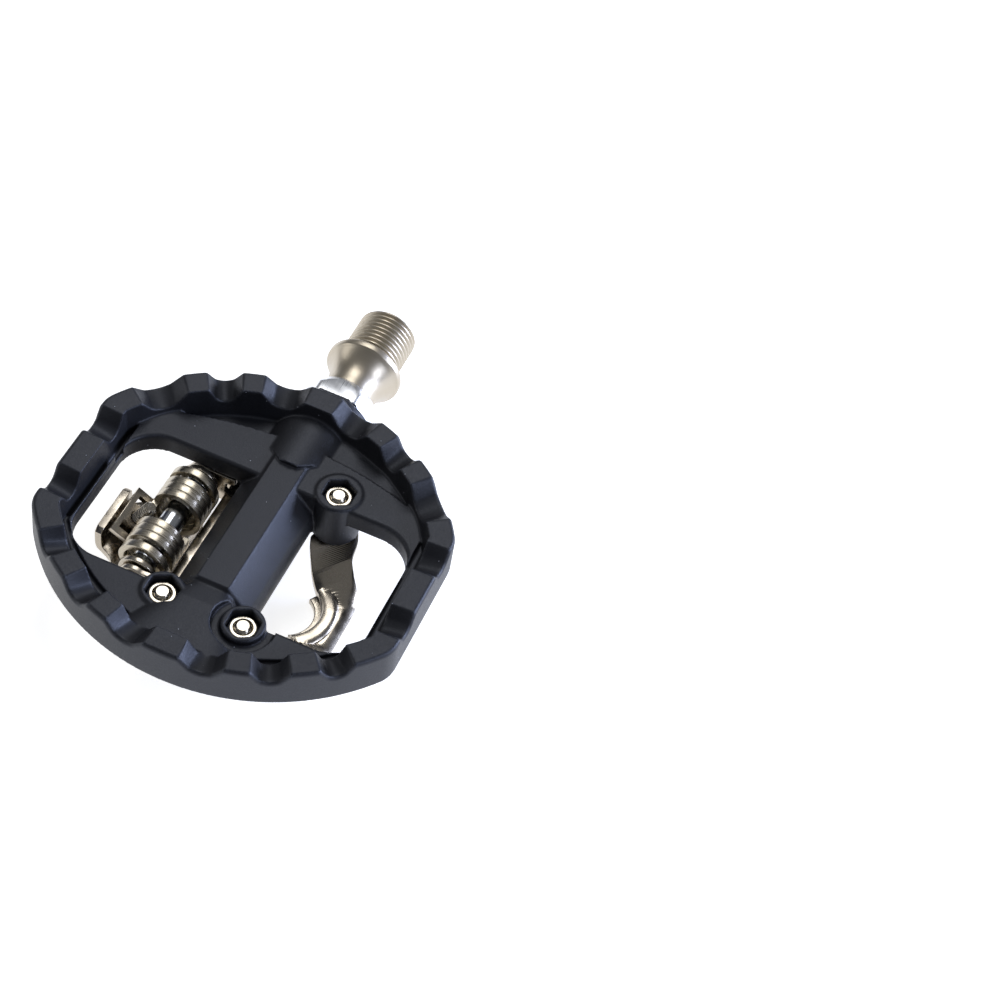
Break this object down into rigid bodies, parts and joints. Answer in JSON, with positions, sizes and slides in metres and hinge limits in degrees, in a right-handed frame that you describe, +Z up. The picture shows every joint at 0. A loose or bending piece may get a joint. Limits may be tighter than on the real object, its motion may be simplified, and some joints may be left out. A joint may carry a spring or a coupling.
{
  "type": "clipless pedal",
  "caption": "Left bicycle pedal with a toothed alloy platform cage on top, a sprung cleat binding below and a threaded spindle.",
  "frame": {"origin": "on the spindle's axis, in the plane of the shoulder that seats against the crank arm", "axes": "+X outboard along the spindle, +Y forward (towards the fixed front catch), +Z up to the platform side; the cleat binding faces -Z"},
  "size_m": [0.1159, 0.084, 0.0272],
  "materials": {
    "cage_black": "satin black coated alloy with a fine grain",
    "spindle_steel": "satin nickel plated steel",
    "collar_aluminium": "bright machined aluminium",
    "plated_steel": "polished nickel plate with softened edges",
    "spring_steel": "bright plated flat spring wire",
    "fastener_steel": "zinc plated steel",
    "bearing_steel": "ground bearing steel",
    "bush_bronze": "sintered bronze",
    "seal_rubber": "black nitrile rubber"
  },
  "bodies": {
    "axle": {"spindle": "spindle_steel", "bearing_inner": "bearing_steel", "spindle_washer": "fastener_steel", "spindle_nut": "fastener_steel"},
    "pedal": {"pedal_body": "cage_black", "axle_collar": "collar_aluminium", "collar_seal": "seal_rubber", "inboard_bush": "bush_bronze", "bearing_outer": "bearing_steel", "bolt_front_inboard": "fastener_steel", "bolt_front_outboard": "fastener_steel", "bolt_rear_outboard": "fastener_steel", "bolt_rear_inboard": "fastener_steel", "nut_front_inboard": "fastener_steel", "nut_front_outboard": "fastener_steel", "nut_rear_outboard": "fastener_steel", "front_catch": "plated_steel", "rear_bracket": "plated_steel", "pivot_pin": "fastener_steel", "pin_clip": "fastener_steel", "spring_inboard": "spring_steel", "spring_outboard": "spring_steel", "spring_sleeve": "fastener_steel"},
    "ball_cage": {"bearing_balls": "bearing_steel"},
    "rear_claw": {"rear_catch": "plated_steel"},
    "screw": {"tension_screw": "fastener_steel"},
    "follower": {"tension_plate": "plated_steel"}
  },
  "joints": [
    {"name": "pedal_spin", "type": "hinge", "parent": "axle", "child": "pedal", "pos_m": [0.062, 0, 0], "axis": [1, 0, 0], "continuous": true},
    {"name": "ball_cage_spin", "type": "hinge", "parent": "axle", "child": "ball_cage", "pos_m": [0.068, 0, 0], "axis": [1, 0, 0], "continuous": true},
    {"name": "rear_catch_hinge", "type": "hinge", "parent": "pedal", "child": "rear_claw", "pos_m": [0.0628, -0.0182, 0], "axis": [-1, 0, 0], "range_deg": [0, 12], "stiffness_Nm_per_rad": 6, "springref_deg": -14.32},
    {"name": "tension_screw_turn", "type": "hinge", "parent": "rear_claw", "child": "screw", "pos_m": [0.0628, -0.0226, 0.0036], "axis": [0, -0.5, -0.866], "range_deg": [-360, 360]},
    {"name": "tension_plate_slide", "type": "slide", "parent": "rear_claw", "child": "follower", "axis": [0, -0.5, -0.866], "range_m": [-0.0008, 0.0008]}
  ],
  "couplings": [
    {"joint": "ball_cage_spin", "follows": "pedal_spin", "ratio": 0.5864},
    {"joint": "tension_screw_turn", "follows": "tension_plate_slide", "rad_per_m": 7854}
  ]
}
